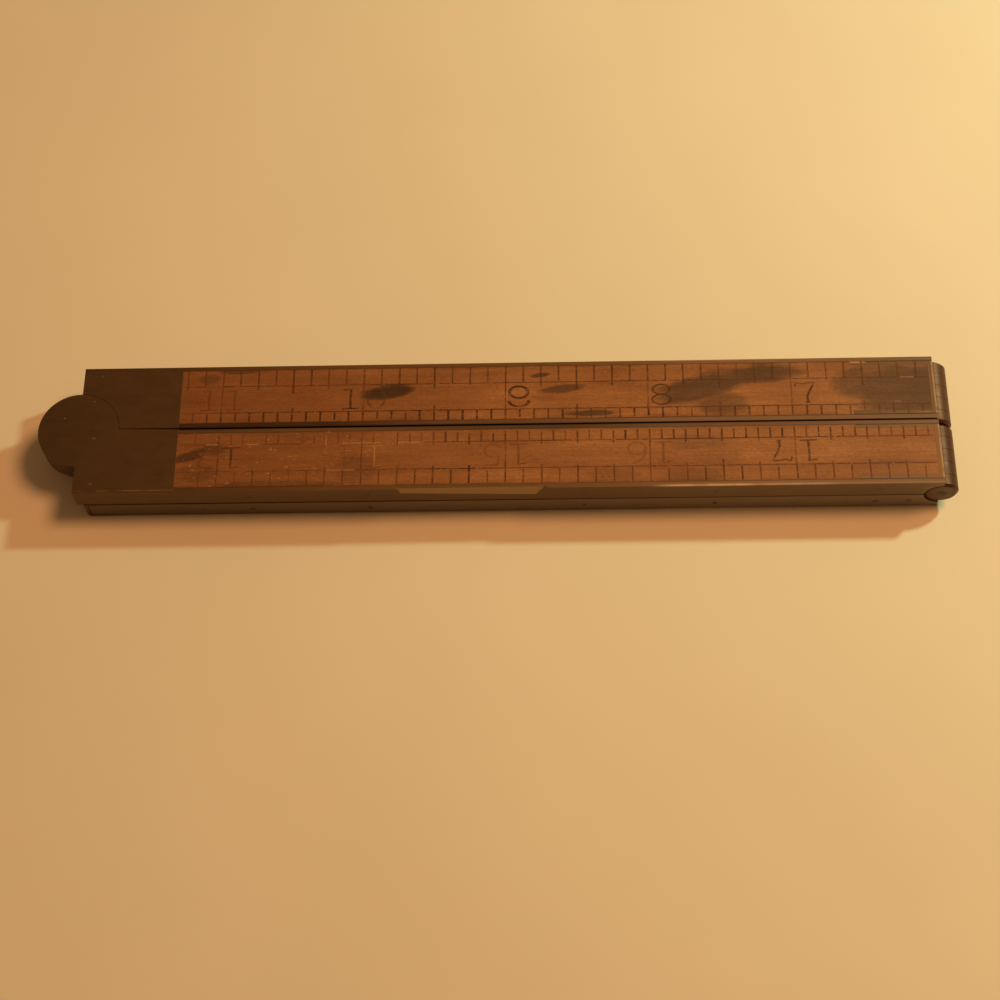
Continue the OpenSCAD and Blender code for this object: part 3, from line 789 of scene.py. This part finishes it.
def draw_figure(face, tone, digit, s, w, height, right, thin, thick):
    """Draws one figure centred on s, w. right is the direction along s in which it reads."""
    for k, (points, closed) in enumerate(FIGURES[digit]):
        placed = []
        widths = []
        for i, (u, v) in enumerate(points):
            nxt = points[(i + 1) % len(points)] if closed or i < len(points) - 1 else points[i - 1]
            du, dv = nxt[0] - u, nxt[1] - v
            upright = abs(dv) / (math.hypot(du, dv) or 1.0)
            placed.append((s + right * (u - FIGURE_MIDDLE) * height, w + (v - 0.5) * height))
            widths.append(thin + (thick - thin) * upright)
        face.ribbon(tone, placed, widths, closed, k + 3)


def draw_number(face, number, s, w, height, right, tones):
    digits = str(number)
    places = (FIGURE_SHIFT,) if len(digits) == 1 else (-FIGURE_SHIFT, FIGURE_SHIFT)
    for digit, shift, tone in zip(digits, places, tones):
        offset = shift if len(digits) == 1 else right * shift
        thick = STROKES.get(number, USUAL_STROKE)
        thin = THIN_SHARE * thick
        draw_figure(face, tone, digit, s + offset, w, height, right, thin, thick)


def clear_at(stops, s):
    """How clearly a row still shows at s, between 0, gone, and 1, bold."""
    s /= MM
    for (s0, v0), (s1, v1) in zip(stops, stops[1:]):
        if s <= s1:
            return v0 + (v1 - v0) * max(0.0, (s - s0) / (s1 - s0))
    return stops[-1][1]


def pick_tone(rng, clear):
    """The ink left in a line, or None where the line is worn away."""
    value = clear + rng.uniform(-0.15, 0.15)
    if value < 0.10:
        return rng.choice(("pale", None))
    for limit, tone in ((0.28, "faint"), (0.52, "soft"), (0.80, "brown")):
        if value < limit:
            return tone
    return "dark"


def worn_line(face, rng, start, end, width, clear, layer=0):
    """A line in pieces of a few millimetres, each as worn as its place on the row."""
    length = math.hypot(end[0] - start[0], end[1] - start[1])
    pieces = max(1, round(length / PIECE_LENGTH))
    for i in range(pieces):
        low, high = i / pieces, (i + rng.choice((1.0, 1.0, 1.0, 1.0, 0.85))) / pieces
        a, b = ([start[k] + (end[k] - start[k]) * at for k in (0, 1)] for at in (low, high))
        tone = pick_tone(rng, clear_at(clear, a[0]) - 0.08)
        if tone:
            face.ribbon(tone, [a, b], [width, width * rng.uniform(0.8, 1.1)], layer=layer)


def tick(face, rng, s, near, far, clear):
    """One graduation from near to far, its tone and width by chance."""
    value = clear_at(clear, s)
    tone = pick_tone(rng, value)
    short = 0.0 if rng.random() < 0.75 else rng.uniform(0.05, 0.2) * (far - near)
    width = rng.uniform(0.26, 0.36) * MM * (0.75 + 0.45 * value)
    lean = rng.uniform(-0.06, 0.06) * MM
    if tone and not (tone == "pale" and rng.random() < 0.6):
        ends = [(s, near + short), (s + lean, far)]
        face.ribbon(tone, ends, [width, width * rng.uniform(0.8, 1.1)], layer=1)


class Row:
    """A row of graduations, parts to the inch, between the line at base and the leg's edge."""

    def __init__(self, parts, base, edge, longer, clear):
        self.parts = parts
        self.base = base * MM
        self.edge = edge * MM
        self.longer = longer
        self.clear = clear

    def draw(self, face, rng, low_s, high_s):
        step = INCH / self.parts
        inward = 1 if self.base > self.edge else -1
        for i in range(math.ceil(low_s / step), math.floor(high_s / step) + 1):
            reach = self.base
            for share, extra in self.longer:
                if i % (self.parts * share) == 0:
                    reach = self.base + inward * extra * MM
                    break
            near, far = sorted((reach, self.edge))
            tick(face, rng, i * step, near, far, self.clear)
        worn_line(face, rng, (low_s, self.base), (high_s, self.base), ROW_LINE, self.clear)


# How clearly a row still shows: (distance from the joint in mm, from 0, gone, to 1, bold)
EVEN = ((0, 0.55), (153, 0.6))
LEG_2_EIGHTHS = ((18, 0.42), (40, 0.6), (110, 0.62), (115, 0.4), (134, 0.45), (138, 0.3), (153, 0.3))
LEG_2_TENTHS = ((18, 0.35), (28, 0.75), (40, 0.95), (72, 1.0), (78, 0.7), (108, 0.8),
                (111, 0.35), (116, 0.7), (134, 0.75), (138, 0.30), (153, 0.30))
LEG_3_EIGHTHS = ((18, 0.22), (50, 0.25), (53, 0.42), (57, 0.35), (60, 0.75), (64, 0.9), (70, 1.0),
                 (72, 0.5), (104, 0.5), (110, 0.6), (153, 0.5))
LEG_3_TWELFTHS = ((18, 0.14), (62, 0.18), (65, 0.65), (74, 0.5), (90, 0.55),
                  (100, 0.75), (130, 0.7), (153, 0.45))
# The two rows of each outer face. The pairs are (share of an inch, how far it reaches past the
# line in mm) for the marks that are longer than the rest
ROWS = {
    1: (Row(8, 8.4, 11.7, ((0.5, 1.5), (0.25, 0.8)), EVEN),
        Row(10, 2.95, 1.0, ((0.5, 0.9),), EVEN)),
    2: (Row(8, 8.35, 11.75, ((0.5, 1.6), (0.25, 0.8)), LEG_2_EIGHTHS),
        Row(10, 2.92, 0.95, ((0.5, 0.9),), LEG_2_TENTHS)),
    3: (Row(8, 8.6, 11.5, ((0.5, 1.2), (0.25, 0.6)), LEG_3_EIGHTHS),
        Row(12, 3.25, 1.2, ((0.25, 0.6),), LEG_3_TWELFTHS)),
    4: (Row(8, 8.6, 11.6, ((0.5, 1.2), (0.25, 0.6)), EVEN),
        Row(12, 3.25, 1.1, ((0.25, 0.6),), EVEN)),
}
SIXTEENTHS = Row(16, 8.9, 11.65, ((0.5, 1.2), (0.25, 0.7), (0.125, 0.35)), EVEN)

# A rubbed line at the foot of the stain by leg 2's hinge
RUB_FROM = 138.5 * MM
RUB_AT = 1.2 * MM
WORN_OUT = ((0, 0.05), (153, 0.05))
# How clearly the lines across the leg at each inch show
INCH_LINES = ((0, 0.32), (153, 0.42))


def mark_face(leg, inner):
    """Graduations, inch lines and figures of one face of a leg."""
    rng = random.Random(40 + leg + 10 * inner)
    upper = leg in (2, 3)
    if inner:
        face = Face(leg, UPPER_Z if upper else LOWER_Z, -1 if upper else 1)
        rows = (SIXTEENTHS,)
    else:
        face = Face(leg, TOP_Z if upper else 0.0, 1 if upper else -1)
        rows = ROWS[leg]
    low_s = (PLATE_END if upper else TIP_END) + START_GAP
    high_s = HINGE - END_GAP
    for row in rows:
        row.draw(face, rng, low_s, high_s)
    if leg == 2 and not inner:
        worn_line(face, rng, (RUB_FROM, RUB_AT), (high_s, RUB_AT), RUB_LINE, WORN_OUT, 2)
    right = 1 if (leg in (2, 4)) != inner else -1
    for inch in range(1, 6):
        s = inch * INCH
        number = {1: inch, 2: 12 - inch, 3: 12 + inch, 4: 24 - inch}[leg]
        foot = 1.2 * MM if inner else rows[1].base
        worn_line(face, rng, (s, foot), (s, rows[0].base), INCH_LINE, INCH_LINES, 2)
        tones = USUAL_TONES if inner else FIGURE_TONES.get(number, USUAL_TONES)
        draw_number(face, number, s, FIGURE_AT[leg], FIGURE_HEIGHT, right, tones)
    face.finish("inner_scale" if inner else "scale")


for leg in LEGS:
    for inner in (False, True):
        mark_face(leg, inner)

# ---- Floor and light ----

FLOOR_SIZE = 3.0
LAMP_AT = (0.290, 0.162, 0.250)
LAMP_SIZE = 0.03
LAMP_POWER = 0.72
LAMP_COLOUR = (0.84, 1.0, 0.58)
WINDOW_AT = (0.55, 0.15, 0.95)
WINDOW_SIZE = 0.35
WINDOW_POWER = 7.0
WINDOW_COLOUR = (0.95, 0.427, 0.158)
ROOM_COLOUR = (1.0, 0.49, 0.19, 1)
ROOM_STRENGTH = 0.175


def make_floor():
    bm = bmesh.new()
    half = FLOOR_SIZE / 2
    corners = ((-half, -half), (half, -half), (half, half), (-half, half))
    bm.faces.new([bm.verts.new((x, y, 0)) for x, y in corners])
    mesh = bpy.data.meshes.new("floor")
    bm.to_mesh(mesh)
    bm.free()
    floor = bpy.data.objects.new("floor", mesh)
    bpy.context.scene.collection.objects.link(floor)
    material, p, shader = new_material("floor_paper")
    mottle = p.noise(p.stretch(p.object_place(), 14, 14, 14), detail=4)
    p.plug(shader.inputs["Base Color"],
           p.ramp(mottle, ((0.3, srgb(232, 226, 212)), (0.7, srgb(238, 232, 219)))))
    shader.inputs["Roughness"].default_value = 0.9
    dress(floor, material)


def area_light(name, at, size, power, colour, aim=(0, 0, 0)):
    data = bpy.data.lights.new(name, "AREA")
    data.shape = "DISK"
    data.size = size
    data.energy = power
    data.color = colour
    light = bpy.data.objects.new(name, data)
    light.location = at
    direction = Vector(aim) - Vector(at)
    light.rotation_euler = direction.to_track_quat("-Z", "Y").to_euler()
    bpy.context.scene.collection.objects.link(light)


def make_light():
    area_light("lamp", LAMP_AT, LAMP_SIZE, LAMP_POWER, LAMP_COLOUR)
    area_light("window", WINDOW_AT, WINDOW_SIZE, WINDOW_POWER, WINDOW_COLOUR)
    world = bpy.data.worlds.new("room")
    world.use_nodes = True
    world.node_tree.nodes["Background"].inputs[0].default_value = ROOM_COLOUR
    world.node_tree.nodes["Background"].inputs[1].default_value = ROOM_STRENGTH
    bpy.context.scene.world = world
    bpy.context.scene.view_settings.view_transform = "Standard"


make_floor()
make_light()
